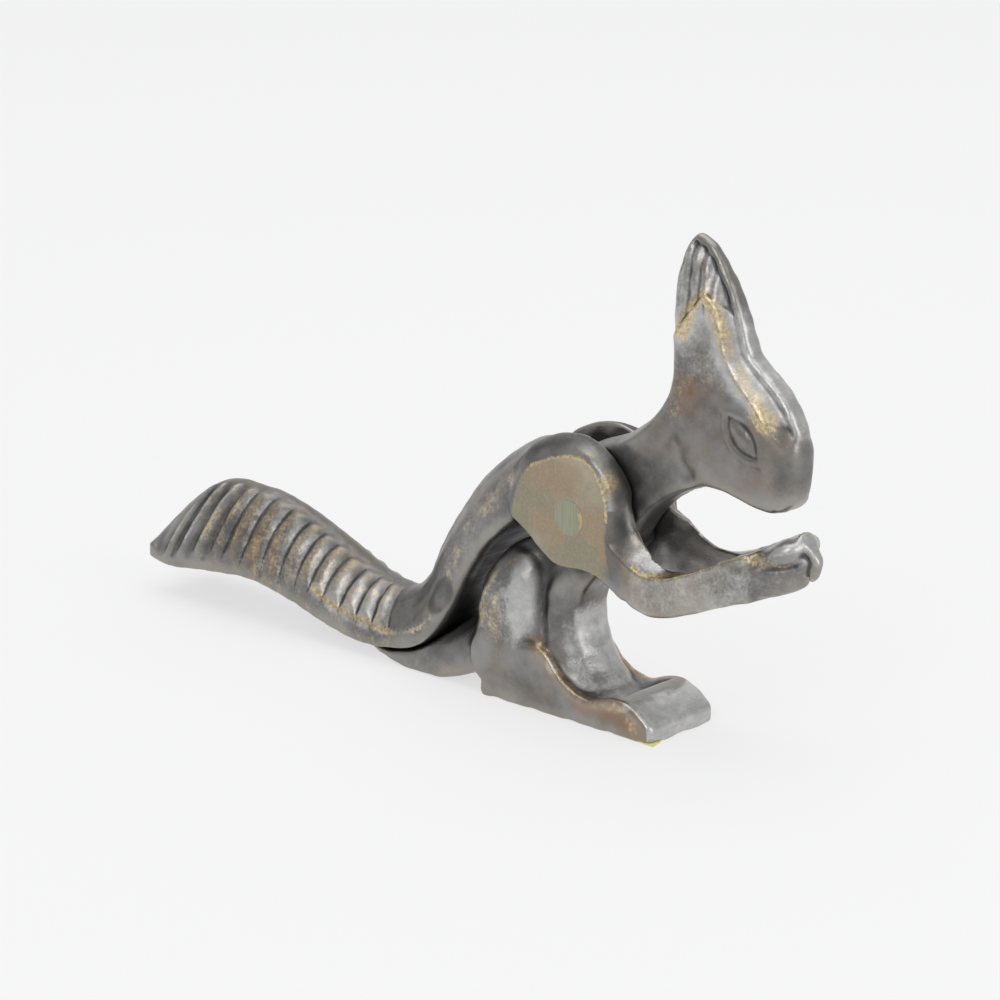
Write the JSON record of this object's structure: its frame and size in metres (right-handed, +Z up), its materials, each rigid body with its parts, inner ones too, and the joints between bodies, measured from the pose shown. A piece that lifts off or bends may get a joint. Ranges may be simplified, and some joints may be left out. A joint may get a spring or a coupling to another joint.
{
  "type": "nutcracker",
  "caption": "Squirrel-shaped cast lever nutcracker: a head, feet and lower tail lever and an arms and upper tail lever turn on one pin and crack a nut between chin and palms.",
  "frame": {"origin": "middle of the bounding box's underside, on the surface that the feet stand on", "axes": "+X the way the squirrel faces, +Y along the pivot axis to the squirrel's left, +Z up"},
  "size_m": [0.1724, 0.02, 0.0979],
  "materials": {
    "body_bronze": "cast, dark brown patina with golden worn edges, feet ground bright in front",
    "arm_bronze": "cast, dark brown patina, ground shoulder faces, worn golden edges and tail ribs",
    "pin_metal": "ground flush with the shoulders, dull green tarnish",
    "label_paper": "yellowed paper"
  },
  "bodies": {
    "body_lever": {"body_lever": "body_bronze", "sole_label": "label_paper"},
    "arm_lever": {"arm_lever": "arm_bronze", "pivot_pin": "pin_metal"}
  },
  "joints": [
    {"name": "lever_pivot", "type": "hinge", "parent": "body_lever", "child": "arm_lever", "pos_m": [0.0344, 0, 0.041], "axis": [0, 1, 0], "range_deg": [0, 30]}
  ]
}
